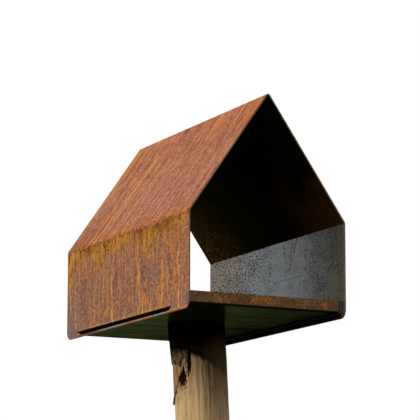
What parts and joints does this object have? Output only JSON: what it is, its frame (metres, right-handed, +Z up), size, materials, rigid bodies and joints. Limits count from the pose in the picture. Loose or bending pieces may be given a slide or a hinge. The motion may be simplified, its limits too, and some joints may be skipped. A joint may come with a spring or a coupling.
{
  "type": "bird feeder on a post",
  "caption": "Open-gabled bird feeder folded from rusty weathering steel, with an upturned seed tray and a drain slot, screwed on a natural wooden post with a last patch of bark.",
  "frame": {"origin": "centre of the post's foot, on the ground", "axes": "+Z up along the post, front gable towards -Y, +X to the right when facing the front gable"},
  "size_m": [0.25, 0.43, 1.9078],
  "materials": {
    "wall_steel": "weathered, brown rust with orange runs outside and bluish mill scale inside",
    "roof_steel": "weathered, orange-brown rust with fine streaks down the slope",
    "tray_steel": "weathered, dark and slightly glossy below",
    "post_wood": "peeled round wood, dry and cracked",
    "bark_wood": "grey, cracked bark with a reddish-brown inner layer",
    "screw_steel": "plain, slightly dull"
  },
  "bodies": {
    "root": {"left_wall": "wall_steel", "right_wall": "wall_steel", "left_roof": "roof_steel", "right_roof": "roof_steel", "floor_plate": "tray_steel", "front_lip": "tray_steel", "rear_lip": "tray_steel", "left_lip": "tray_steel", "right_lip": "tray_steel", "post": "post_wood", "inner_bark": "bark_wood", "outer_bark": "bark_wood", "screw_1": "screw_steel", "screw_2": "screw_steel", "screw_3": "screw_steel", "screw_4": "screw_steel", "washer_1": "screw_steel", "washer_2": "screw_steel", "washer_3": "screw_steel", "washer_4": "screw_steel"}
  },
  "joints": []
}
